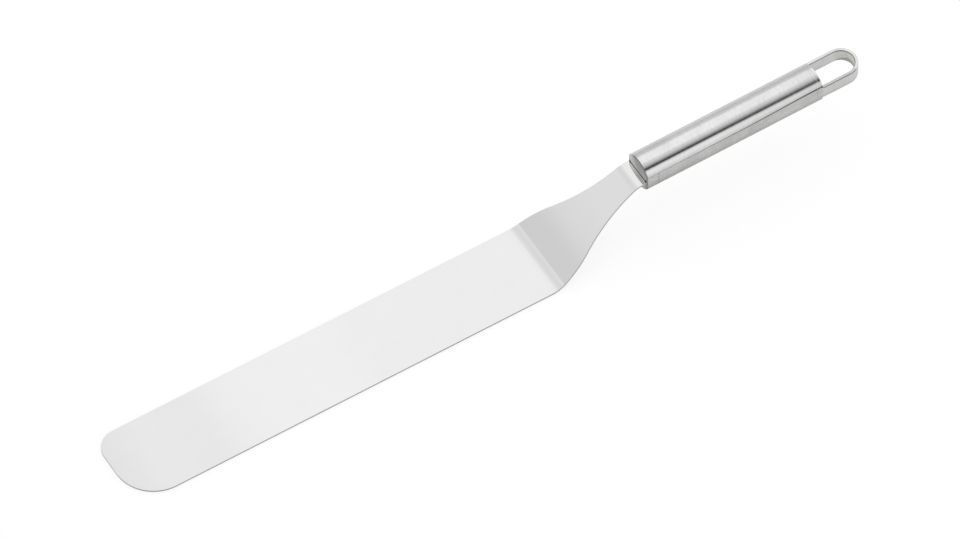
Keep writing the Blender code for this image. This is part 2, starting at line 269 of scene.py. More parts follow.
@dataclass(frozen=True)
class StainlessSteel:
    """Stainless steel with a fine directional finish.

    Chromium steel keeps a neutral grey, mirrors softly what is round it and shows the lines of
    its last belt or wheel as faint streaks. Streaks and slow clouds mix `colour`, the light tone,
    with `shade`, the dark one. `roughness_rise` is what the roughness gains in a metre along X.
    """

    name: str
    colour: str
    shade: str
    roughness: float
    grain: Grain
    anisotropy: float = 0.0
    streak_share: float = 0.5
    roughness_spread: float = 0.03
    line_depth: float = 0.0015 * MM
    cloud_size: float = 12.0 * MM
    roughness_rise: float = 0.0
    fade: Fade | None = None

    def make(self) -> bpy.types.Material:
        """Builds the material's nodes.

        Returns:
            The material.
        """
        material = bpy.data.materials.new(self.name)
        material.use_nodes = True
        tree = material.node_tree
        shader = tree.nodes["Principled BSDF"]
        shader.inputs["Metallic"].default_value = 1.0
        shader.inputs["Anisotropic"].default_value = self.anisotropy
        place = add_node(tree, "ShaderNodeTexCoord").outputs["Object"]
        scale = Vector([1 / (spread * MM) for spread in self.grain.value])
        scaled = add_node(tree, "ShaderNodeMapping", {"Scale": scale}, {"Vector": place}).outputs[0]
        line_settings = {"Scale": 1.0, "Detail": STREAK_DETAIL}
        lines = add_node(tree, "ShaderNodeTexNoise", line_settings, {"Vector": scaled}).outputs[0]
        tree.links.new(self.tint(tree, place, lines), shader.inputs["Base Color"])
        tree.links.new(self.dullness(tree, place, lines), shader.inputs["Roughness"])
        bump_settings = {"Strength": 1.0, "Distance": self.line_depth}
        bump = add_node(tree, "ShaderNodeBump", bump_settings, {"Height": lines}).outputs[0]
        tree.links.new(bump, shader.inputs["Normal"])
        if self.anisotropy:
            tangent_settings = {"direction_type": "RADIAL", "axis": "X"}
            tangent = add_node(tree, "ShaderNodeTangent", tangent_settings).outputs[0]
            tree.links.new(tangent, shader.inputs["Tangent"])
            shader.inputs["Anisotropic Rotation"].default_value = HIGHLIGHT_TURN
        return material

    def tint(
        self, tree: bpy.types.NodeTree, place: bpy.types.NodeSocket, lines: bpy.types.NodeSocket
    ) -> bpy.types.NodeSocket:
        """Mixes the two tones by streaks and clouds, and darkens them where the finish fades.

        Args:
            tree: the material's node tree.
            place: the socket that gives the place on the piece.
            lines: the socket that gives the streaks.

        Returns:
            The socket that gives the colour.
        """
        cloud_settings = {"Scale": 1 / self.cloud_size, "Detail": CLOUD_DETAIL}
        clouds = add_node(tree, "ShaderNodeTexNoise", cloud_settings, {"Vector": place}).outputs[0]
        blend_settings = {0: self.streak_share}
        blend = add_node(tree, "ShaderNodeMix", blend_settings, {2: clouds, 3: lines}).outputs[0]
        share = add_node(tree, "ShaderNodeMapRange", NOISE_SPAN, {"Value": blend}).outputs[0]
        tone_settings = {"data_type": "RGBA", 6: linear(self.shade), 7: linear(self.colour)}
        tone = add_node(tree, "ShaderNodeMix", tone_settings, {0: share}).outputs[2]
        if not self.fade:
            return tone
        start, end = self.fade.span
        way_settings = {"operation": "DOT_PRODUCT", 1: self.fade.way}
        along = add_node(tree, "ShaderNodeVectorMath", way_settings, {0: place}).outputs["Value"]
        span_settings = {"From Min": start, "From Max": end}
        faded = add_node(tree, "ShaderNodeMapRange", span_settings, {"Value": along}).outputs[0]
        level = (self.fade.level, self.fade.level, self.fade.level, 1)
        fade_settings = {"data_type": "RGBA", "blend_type": "MULTIPLY", 7: level}
        return add_node(tree, "ShaderNodeMix", fade_settings, {0: faded, 6: tone}).outputs[2]

    def dullness(
        self, tree: bpy.types.NodeTree, place: bpy.types.NodeSocket, lines: bpy.types.NodeSocket
    ) -> bpy.types.NodeSocket:
        """Varies the roughness with the streaks, and along the piece where it rises.

        Args:
            tree: the material's node tree.
            place: the socket that gives the place on the piece.
            lines: the socket that gives the streaks.

        Returns:
            The socket that gives the roughness.
        """
        low, high = self.roughness - self.roughness_spread, self.roughness + self.roughness_spread
        rough_settings = {**NOISE_SPAN, "To Min": low, "To Max": high}
        rough = add_node(tree, "ShaderNodeMapRange", rough_settings, {"Value": lines}).outputs[0]
        if not self.roughness_rise:
            return rough
        way_settings = {"operation": "DOT_PRODUCT", 1: (self.roughness_rise, 0, 0)}
        gain = add_node(tree, "ShaderNodeVectorMath", way_settings, {0: place}).outputs["Value"]
        sum_links = {0: rough, 1: gain}
        return add_node(tree, "ShaderNodeMath", {"operation": "ADD"}, sum_links).outputs[0]


# The blade

# Cold-rolled sheet, buffed. It mirrors the room almost sharply, with hairlines along the blade.
BUFFED_SHEET = StainlessSteel(
    "polished_sheet_steel",
    colour="#E8E8E9",
    shade="#E6E6E6",
    roughness=0.045,
    grain=Grain.ALONG,
    roughness_spread=0.008,
)
# The same sheet's cut edge, dressed on a belt. It is a duller line round the bright faces.
GROUND_EDGE = StainlessSteel(
    "ground_edge_steel", colour="#CFCFCF", shade="#C2C2C2", roughness=0.22, grain=Grain.ALONG
)


@dataclass
class BladeSheet:
    """Blade, neck and tang: one stamped sheet, bent twice, with rounded cut edges."""

    thickness: float = 1.0 * MM
    edge_round: float = 0.4 * MM
    edge_steps: int = 3
    length: float = 221.6 * MM
    width: float = 41.2 * MM
    tip_far_radius: float = 10.0 * MM
    tip_near_radius: float = 20.0 * MM
    neck_angle: float = math.radians(29.8)
    first_radius: float = 14.5 * MM
    second_radius: float = 11.8 * MM
    lead: float = 1.5 * MM
    neck_half: float = 7.55 * MM
    neck_parallel: float = 3.2 * MM
    shoulder_early: float = 0.1 * MM
    shoulder_share: float = 0.39
    tang: float = 0.8 * MM
    rise: float = 29.55 * MM
    tilt: float = math.radians(0.84)
    tip_steps: int = 40
    neck_steps: int = 160
    columns: int = 12
    flat_steps: int = 24

    def __post_init__(self) -> None:
        """Works out the path of the sheet's middle from its sizes."""
        middle = self.thickness / 2
        self.first_arc = self.first_radius * self.neck_angle
        self.second_arc = self.second_radius * (self.neck_angle - self.tilt)
        first_rise = self.first_radius * (1 - math.cos(self.neck_angle))
        second_rise = self.second_radius * (math.cos(self.tilt) - math.cos(self.neck_angle))
        lead_rise = self.lead * math.sin(self.tilt)
        slope_rise = self.rise - middle - first_rise - second_rise - lead_rise
        self.slope = slope_rise / math.sin(self.neck_angle)
        self.run = self.first_arc + self.slope + self.second_arc + self.lead
        self.start = Vector((self.length, middle))
        first_run = self.first_radius * math.sin(self.neck_angle)
        self.slope_start = self.start + Vector((first_run, first_rise))
        self.slope_end = self.slope_start + self.slope * self.heading(self.neck_angle)
        second_run = self.second_radius * (math.sin(self.neck_angle) - math.sin(self.tilt))
        self.lead_start = self.slope_end + Vector((second_run, second_rise))

    @staticmethod
    def heading(angle: float) -> Vector:
        """The direction (x, z) of a rise of that angle."""
        return Vector((math.cos(angle), math.sin(angle)))

    def place(self, along: float) -> Vector:
        """Finds a point of the sheet's middle.

        Args:
            along: length along the sheet past the first bend's start.

        Returns:
            The point (x, z), with x from the blade's tip.
        """
        if along <= 0:
            return self.start + along * self.heading(0)
        if along < self.first_arc:
            angle = along / self.first_radius
            return self.start + self.first_radius * Vector((math.sin(angle), 1 - math.cos(angle)))
        past = along - self.first_arc
        if past < self.slope:
            return self.slope_start + past * self.heading(self.neck_angle)
        past -= self.slope
        if past < self.second_arc:
            angle = self.neck_angle - past / self.second_radius
            run = math.sin(self.neck_angle) - math.sin(angle)
            rise = math.cos(angle) - math.cos(self.neck_angle)
            return self.slope_end + self.second_radius * Vector((run, rise))
        return self.lead_start + (past - self.second_arc) * self.heading(self.tilt)

    def half_width(self, along: float) -> float:
        """Follows the neck's outline of two tangent arcs.

        Args:
            along: length along the sheet past the first bend's start.

        Returns:
            Half the sheet's width there.
        """
        wide = self.width / 2
        drop = wide - self.neck_half
        run = self.run - self.neck_parallel + self.shoulder_early
        past = along + self.shoulder_early
        if past <= 0:
            return wide
        if past >= run:
            return self.neck_half
        turn = 2 * math.atan(drop / run)
        radii = run / math.sin(turn)
        convex = self.shoulder_share * radii
        concave = radii - convex
        if past < convex * math.sin(turn):
            return wide - convex + math.sqrt(convex**2 - past**2)
        return self.neck_half + concave - math.sqrt(concave**2 - (run - past) ** 2)

    def tip_edge(self, along: float, radius: float) -> float:
        """Finds half the blade's width near its tip, on the side of one corner.

        Args:
            along: length from the tip.
            radius: the radius of that side's corner.

        Returns:
            The distance of the edge from the blade's middle line.
        """
        half = self.width / 2
        if along >= radius:
            return half
        return half - radius + math.sqrt(radius**2 - (radius - along) ** 2)

    def rows(self) -> list[list[Vector]]:
        """Lays rows of points across the middle of the sheet, from the tip to the cap.

        Returns:
            The rows, each from the near edge to the far one.
        """
        found = []
        for step in range(self.tip_steps + 1):
            x = self.tip_near_radius * (1 - math.cos(math.pi / 2 * step / self.tip_steps))
            near = self.tip_edge(x, self.tip_near_radius)
            far = self.tip_edge(x, self.tip_far_radius)
            found.append(self.across(x, self.thickness / 2, -near, far))
        for step in range(1, self.flat_steps + 1):
            flat = self.length - self.shoulder_early - self.tip_near_radius
            x = self.tip_near_radius + flat * step / self.flat_steps
            found.append(self.across(x, self.thickness / 2, -self.width / 2, self.width / 2))
        reach = self.run + self.shoulder_early + self.tang
        for step in range(1, self.neck_steps + 1):
            along = reach * step / self.neck_steps - self.shoulder_early
            x, z = self.place(along)
            half = self.half_width(along)
            found.append(self.across(x, z, -half, half))
        return found

    def across(self, x: float, z: float, near: float, far: float) -> list[Vector]:
        """Points of one row, evenly spaced from the near edge to the far one."""
        shares = [column / self.columns for column in range(self.columns + 1)]
        return [Vector((x, near + (far - near) * share, z)) for share in shares]

    def build(self, place: Matrix) -> None:
        """Makes the sheet with its thickness and rounded edges, and dresses it.

        Args:
            place: the frame that has its origin at the blade's tip.
        """
        finishes = (BUFFED_SHEET, GROUND_EDGE)
        shape = bmesh.new()
        rows = [[shape.verts.new(point) for point in row] for row in self.rows()]
        for before, after in zip(rows, rows[1:]):
            for here in range(self.columns):
                shape.faces.new((before[here], after[here], after[here + 1], before[here + 1]))
        skins = [finish.make() for finish in finishes]
        sheet = new_piece("blade_sheet", shape, skins, place)
        solid = sheet.modifiers.new("thickness", "SOLIDIFY")
        solid.thickness = self.thickness
        solid.offset = 0
        solid.use_even_offset = True
        solid.material_offset_rim = finishes.index(GROUND_EDGE)
        rounded = sheet.modifiers.new("rounded_edges", "BEVEL")
        rounded.width = self.edge_round
        rounded.segments = self.edge_steps
        rounded.limit_method = "ANGLE"
        rounded.angle_limit = SHARP_EDGE_ANGLE
        even_shading(sheet)
        enter(sheet, "blade_steel", "blade")


# The handle


class Zone(IntEnum):
    """The finishes of the handle, by the number that its meshes give them."""

    TUBE = 0
    CREASE = 1
    FLAT = 2
    UNDER = 3
    RIM = 4
    FACE = 5
    SLOT = 6


# Painted shade: each flat and its lower corner are painted darker towards the underside.
FLAT_PAINTED_SHADE = Fade(way=(0.02, 0, 1), span=(0.8 * MM, -4.5 * MM), level=0.7)

HANDLE_FINISHES = {
    # Tube brushed round on a belt. Its fine rings stretch each light along the handle, and painted
    # shade darkens its near underside.
    Zone.TUBE: StainlessSteel(
        "belt_brushed_tube_steel",
        colour="#EBEBEB",
        shade="#D9D9D9",
        roughness=0.12,
        grain=Grain.AROUND,
        anisotropy=0.5,
        line_depth=0.012 * MM,
        roughness_rise=0.8,
        # Painted shade: the tube is painted darker towards its near underside.
        fade=Fade(way=(0.1, -0.3, -1), span=(2.0 * MM, 5.5 * MM), level=0.86),
    ),
    # Where the press folded the tube: a dark grey line painted along the fold, a painted shade in
    # the crease.
    Zone.CREASE: StainlessSteel(
        "pressed_crease_steel",
        colour="#787876",
        shade="#686866",
        roughness=0.42,
        grain=Grain.ALONG,
    ),
    # A flat pressed in a die. It has the die's short marks, and reflects more softly than the tube.
    Zone.FLAT: StainlessSteel(
        "die_pressed_flat_steel",
        colour="#E6E6E5",
        shade="#CACAC9",
        roughness=0.28,
        grain=Grain.SHORT_ALONG,
        line_depth=0.008 * MM,
        fade=FLAT_PAINTED_SHADE,
    ),
    # The flat's rounded lower corner and the rear cap's groove. The same marks, painted a tone
    # darker: a painted shade where they turn under and in the groove.
    Zone.UNDER: StainlessSteel(
        "underside_and_groove_shade_steel",
        colour="#E0E0DF",
        shade="#C6C6C5",
        roughness=0.28,
        grain=Grain.SHORT_ALONG,
        line_depth=0.008 * MM,
        fade=FLAT_PAINTED_SHADE,
    ),
    # A cap's rim turned on a lathe. Its rings blur the reflection to an even grey, and its near
    # half is darker.
    Zone.RIM: StainlessSteel(
        "turned_rim_steel",
        colour="#DEDEDC",
        shade="#CCCCCA",
        roughness=0.36,
        grain=Grain.AROUND,
        fade=Fade(way=(0, 1, 0), span=(5.5 * MM, 3.5 * MM), level=0.5),
    ),
    # A cap's face, cut across by the facing tool. It is matt, with pale and grey strokes, and
    # painted darker towards its near side and its top, a painted shade.
    Zone.FACE: StainlessSteel(
        "faced_cap_steel",
        colour="#ECECEA",
        shade="#C2C2BF",
        roughness=0.36,
        grain=Grain.ACROSS,
        fade=Fade(way=(0, 1, -0.75), span=(1.3 * MM, -2.9 * MM), level=0.64),
    ),
    # The sawn slot round the sheet, painted nearly black: painted shade in the recess.
    Zone.SLOT: StainlessSteel(
        "slot_shade_steel",
        colour="#444442",
        shade="#343432",
        roughness=0.5,
        grain=Grain.ALONG,
    ),
}

# Weld buffed with the rear cap. It shows as a line one tone under the tube.
POLISHED_WELD = StainlessSteel(
    "polished_weld_steel", colour="#D8D8D6", shade="#CACAC8", roughness=0.24, grain=Grain.AROUND
)
# Weld at the front, left as the wire brush made it. It is a grey line across each flat.
DULL_WELD = StainlessSteel(
    "dull_weld_steel", colour="#A6A6A4", shade="#929290", roughness=0.36, grain=Grain.AROUND
)
# Weld at the rear, ground flush. It is a paler and softer line across each flat.
GROUND_WELD = StainlessSteel(
    "ground_weld_steel", colour="#C0C0BE", shade="#AEAEAC", roughness=0.3, grain=Grain.AROUND
)


@dataclass
class PressedRound:
    """Outline of the handle across its axis: a round with a flat on each side."""

    radius: float
    flat: float
    upper_corner: float
    lower_corner: float
    crease: float
    least_corner_share: float = 0.5
    crown_steps: int = 28
    corner_steps: int = 5

    def quarter(self, inset: float, corner: float, crease: float) -> list[Point2]:
        """Walks from the crown to the edge of a flat.

        Args:
            inset: how far inside the outline to walk.
            corner: the radius of the rounded corner at the flat.
            crease: width of the band that comes before the corner.

        Returns:
            Points (y, z), the same number for any sizes.
        """
        radius, flat = self.radius - inset, self.flat - inset
        corner = max(corner - inset, corner * self.least_corner_share)
        side = flat - corner
        up = math.sqrt((radius - corner) ** 2 - side**2)
        meet = math.atan2(side, up)
        bent = meet - crease / radius
        found = []
        for step in range(self.crown_steps):
            angle = bent * step / (self.crown_steps - 1)
            found.append((radius * math.sin(angle), radius * math.cos(angle)))
        for step in range(self.corner_steps + 1):
            angle = meet + (math.pi / 2 - meet) * step / self.corner_steps
            found.append((side + corner * math.sin(angle), up + corner * math.cos(angle)))
        return found

    def points(self, inset: float = 0.0) -> list[Point2]:
        """Walks round the outline from its top.

        Args:
            inset: how far inside the outline to walk.

        Returns:
            Points (y, z), the same number for any sizes.
        """
        upper = self.quarter(inset, self.upper_corner, self.crease)
        lower = self.quarter(inset, self.lower_corner, self.crease)
        right = upper + [(y, -z) for y, z in reversed(lower)]
        return right + [(-y, z) for y, z in reversed(right[1:-1])]

    def zone(self, column: int) -> Zone:
        """Tells the finish of a column of faces over this outline.

        Args:
            column: the column's number from the top.

        Returns:
            The finish.
        """
        quarter = self.crown_steps + self.corner_steps + 1
        # Four quarters, of which the top and the lowest point are counted twice.
        columns = 4 * quarter - 2
        along = min(column, columns - 1 - column)
        if along < self.crown_steps - 1 or along > quarter + self.corner_steps:
            return Zone.TUBE
        if along < quarter - 1:
            return Zone.CREASE
        return Zone.FLAT if along < quarter + 1 else Zone.UNDER


@dataclass
class Handle:
    """A tube pressed flat on both sides, closed by two turned caps and welded seams."""

    diameter: float = 18.2 * MM
    wall: float = 0.8 * MM
    barrel_length: float = 86.9 * MM
    flat_depth: float = 1.05 * MM
    flat_depth_rear: float = 1.35 * MM
    pinch_length: float = 42.0 * MM
    upper_corner: float = 0.3 * MM
    upper_corner_rear: float = 1.0 * MM
    lower_corner: float = 3.0 * MM
    lower_corner_rear: float = 0.8 * MM
    crease_rear: float = 0.35 * MM
    crease_power: int = 3
    front_length: float = 6.3 * MM
    rear_length: float = 2.75 * MM
    seam: float = 0.3 * MM
    seam_depth: float = 0.02 * MM
    rim_round: float = 0.6 * MM
    rim_round_rear: float = 0.25 * MM
    slot_half: float = 7.4 * MM
    slot_gap: float = 0.45 * MM
    slot_end: float = 1.0 * MM
    slot_end_gap: float = 1.1 * MM
    slot_depth: float = 1.2 * MM
    sheet_half: float = 0.5 * MM
    groove_at: float = 0.95 * MM
    groove_width: float = 0.25 * MM
    groove_depth: float = 0.03 * MM
    groove_slant_share: float = 0.25
    skin_inset: float = 0.012 * MM
    rim_steps: int = 6
    pinch_steps: int = 24

    def __post_init__(self) -> None:
        """Works out what follows from the sizes."""
        self.radius = self.diameter / 2 - self.skin_inset
        self.length = self.front_length + self.barrel_length + self.rear_length + 2 * self.seam
        self.barrel_start = self.front_length + self.seam
        self.rear_start = self.length - self.rear_length

    def section(self, along: float) -> PressedRound:
        """Finds the outline at a place, pinched and creased towards the rear.

        Args:
            along: length from the front face.

        Returns:
            The outline there.
        """
        past = along - self.barrel_start - (self.barrel_length - self.pinch_length)
        # The squared sine starts and ends the pinch without a kink.
        pinch = math.sin(min(max(past / self.pinch_length, 0), 1) * math.pi / 2) ** 2
        depth = self.flat_depth + (self.flat_depth_rear - self.flat_depth) * pinch
        share = along / self.length
        upper = self.upper_corner + (self.upper_corner_rear - self.upper_corner) * share
        lower = self.lower_corner + (self.lower_corner_rear - self.lower_corner) * share
        crease = self.crease_rear * share**self.crease_power
        return PressedRound(self.radius, self.radius - depth, upper, lower, crease)

    def ring(self, along: float, inset: float = 0.0) -> list[Vector]:
        """Points round the handle at a length from its front face."""
        return [Vector((along, y, z)) for y, z in self.section(along).points(inset)]

    def slot_ring(self, along: float) -> list[Vector]:
        """Finds points round the tang's slot, one for each point of the face's outline.

        Args:
            along: length from the front face.

        Returns:
            The points. The slot is wider at its two ends, where the saw ran out.
        """
        found = []
        for _, y, z in self.ring(0, self.rim_round):
            y = min(max(y, -self.slot_half), self.slot_half)
            gap = self.slot_end_gap if abs(y) > self.slot_half - self.slot_end else self.slot_gap
            high = self.sheet_half + gap
            found.append(Vector((along, y, min(max(z, -high), high))))
        return found

    def rounding(self, end: float, face: float, rim: float) -> list[list[Vector]]:
        """Rings of a cap's rounded rim.

        Args:
            end: where the cap's face is.
            face: 1 or -1, the way that the face looks.
            rim: the radius of the rounded rim.

        Returns:
            The rings, from the cap's side to its face.
        """
        rings = []
        for step in range(self.rim_steps + 1):
            angle = math.pi / 2 * step / self.rim_steps
            inset = rim * (1 - math.cos(angle))
            rings.append(self.ring(end - face * rim * (1 - math.sin(angle)), inset))
        return rings

    def build(self, place: Matrix) -> None:
        """Makes the caps, the barrel and the seams, and dresses them.

        Args:
            place: the frame that has its origin on the axis at the front face.
        """
        skins = tuple(HANDLE_FINISHES[zone].make() for zone in Zone)
        self.build_front_cap(skins, place)
        self.build_rear_cap(skins, place)
        self.build_barrel(skins, place)
        front_welds = (skins[Zone.TUBE], DULL_WELD.make())
        self.build_seam("front_seam_weld", self.front_length, front_welds, place, "cap_steel")
        rear_welds = (POLISHED_WELD.make(), GROUND_WELD.make())
        rear_start = self.rear_start - self.seam
        self.build_seam("rear_seam_weld", rear_start, rear_welds, place, "rear_cap_steel")

    def build_front_cap(self, skins: Skins, place: Matrix) -> None:
        """Makes the cap that the neck enters, with the slot for its tang.

        Args:
            skins: the finishes, in the order of their zones.
            place: the handle's frame.
        """
        side = self.ring(self.front_length)
        rims = self.rounding(0, -1, self.rim_round)
        rows = [side, *rims, self.slot_ring(0), self.slot_ring(self.slot_depth)]
        bands = [None, *[Zone.RIM] * self.rim_steps, Zone.FACE, Zone.SLOT, Zone.SLOT]
        self.build_cap("front_cap_turned", rows, bands, skins, place, "front_cap", "cap_steel")

    def build_rear_cap(self, skins: Skins, place: Matrix) -> None:
        """Makes the cap that carries the loop, with a fine groove turned round it.

        Args:
            skins: the finishes, in the order of their zones.
            place: the handle's frame.
        """
        groove = self.rear_start + self.groove_at
        slant = self.groove_width * self.groove_slant_share
        rows = [
            self.ring(self.rear_start),
            self.ring(groove),
            self.ring(groove + slant, self.groove_depth),
            self.ring(groove + self.groove_width - slant, self.groove_depth),
            self.ring(groove + self.groove_width),
            *self.rounding(self.length, 1, self.rim_round_rear),
        ]
        # The groove's faces take the underside's painted shade.
        bands = [None, *[Zone.UNDER] * 3, None, *[None] * self.rim_steps, Zone.FACE]
        self.build_cap("rear_cap_turned", rows, bands, skins, place, "rear_cap", "rear_cap_steel")

    def build_cap(
        self,
        name: str,
        rows: list[list[Vector]],
        bands: list[Zone | None],
        skins: Skins,
        place: Matrix,
        node: str,
        slot: str,
    ) -> None:
        """Makes one cap.

        Args:
            name: the piece's name.
            rows: its rings, from the joint with the barrel to its face.
            bands: the zone of the faces that follow each ring, or None where the outline tells it.
            skins: the finishes, in the order of their zones.
            place: the handle's frame.
            node: the CAD node that it stands for.
            slot: the name of its material slot, which is logged.
        """
        outline = self.section(0)

        def zone(row: int, column: int) -> int:
            """The band's zone, or else the outline's."""
            return outline.zone(column) if bands[row] is None else bands[row]

        cap = new_piece(name, loft(rows, True, zone), skins, place)
        even_shading(cap)
        enter(cap, slot, node)

    def build_barrel(self, skins: Skins, place: Matrix) -> None:
        """Makes the tube, with its flats and their creases.

        Args:
            skins: the finishes, in the order of their zones.
            place: the handle's frame.
        """
        straight = self.barrel_length - self.pinch_length
        steps = self.pinch_steps
        places = [straight * step / steps for step in range(steps)]
        places += [straight + self.pinch_length * step / steps for step in range(steps + 1)]
        outer = [self.ring(self.barrel_start + along) for along in places]
        inner = [self.ring(self.barrel_start + along, self.wall) for along in reversed(places)]
        outline = self.section(self.barrel_start)
        # The skin runs out over the tube, back inside it and round to its first ring.
        shape = loft([*outer, *inner, outer[0]], False, lambda row, column: outline.zone(column))
        bmesh.ops.remove_doubles(shape, verts=shape.verts, dist=MERGE_GAP)
        bmesh.ops.recalc_face_normals(shape, faces=shape.faces)
        barrel = new_piece("handle_barrel_brushed", shape, skins, place)
        even_shading(barrel)
        enter(barrel, "handle_steel", "handle_barrel")

    def build_seam(self, name: str, start: float, welds: Skins, place: Matrix, slot: str) -> None:
        """Makes the ground weld that fills the joint between a cap and the barrel.

        Args:
            name: the piece's name.
            start: where the joint starts along the handle.
            welds: its material on the round and on the flats.
            place: the handle's frame.
            slot: the name of its material slot, which is logged.
        """
        rows = [self.ring(start, self.seam_depth), self.ring(start + self.seam, self.seam_depth)]
        outline = self.section(start)
        shape = loft(rows, True, lambda row, column: int(outline.zone(column) != Zone.TUBE))
        seam = new_piece(name, shape, welds, place)
        even_shading(seam)
        enter(seam, slot)


# The hanging loop


class StripZone(IntEnum):
    """The finishes of the loop's strip, by the number that its mesh gives them."""

    SATIN = 0
    EDGE_SCALE = 1
    MANDREL_MARKS = 2
    BEND_SCALE = 3
    DULLED_TOP = 4


class StripCorner(IntEnum):
    """The corners of the strip's section, in the order of its points."""

    OUTER_TOP = 0
    INNER_TOP = 1
    INNER_FOOT = 2
    OUTER_FOOT = 3


STRIP_FINISHES = {
    # Strip drawn over a satin wheel. Short marks soften what it mirrors, and it is painted darker
    # towards its lower edge, a painted shade.
    StripZone.SATIN: StainlessSteel(
        "satin_strip_steel",
        colour="#E8E8E8",
        shade="#D2D2D2",
        roughness=0.2,
        grain=Grain.SHORT_ALONG,
        line_depth=0.006 * MM,
        fade=Fade(way=(0, 0, 1), span=(-0.5 * MM, -3.0 * MM), level=0.88),
    ),
    # The rounded edges of the near arm and of the bend. They draw a dull grey line beside the
    # satin.
    StripZone.EDGE_SCALE: StainlessSteel(
        "grey_edge_steel",
        colour="#969694",
        shade="#848482",
        roughness=0.45,
        grain=Grain.SHORT_ALONG,
    ),
    # The bend's inside, upper part. It is a little greyer, warmer and rougher than the satin.
    StripZone.MANDREL_MARKS: StainlessSteel(
        "inner_bend_steel",
        colour="#E4E4E0",
        shade="#CACAC6",
        roughness=0.26,
        grain=Grain.SHORT_ALONG,
    ),
    # Low inside the bend and on the arms' inner rounded edges, the steel is a darker grey.
    StripZone.BEND_SCALE: StainlessSteel(
        "bend_grey_steel",
        colour="#BEBEBB",
        shade="#A6A6A3",
        roughness=0.35,
        grain=Grain.SHORT_ALONG,
    ),
    # The near arm's top edge, less finely ground. It is a duller grey than the far arm's.
    StripZone.DULLED_TOP: StainlessSteel(
        "dulled_top_steel",
        colour="#C8C8C6",
        shade="#B8B8B6",
        roughness=0.22,
        grain=Grain.SHORT_ALONG,
    ),
}


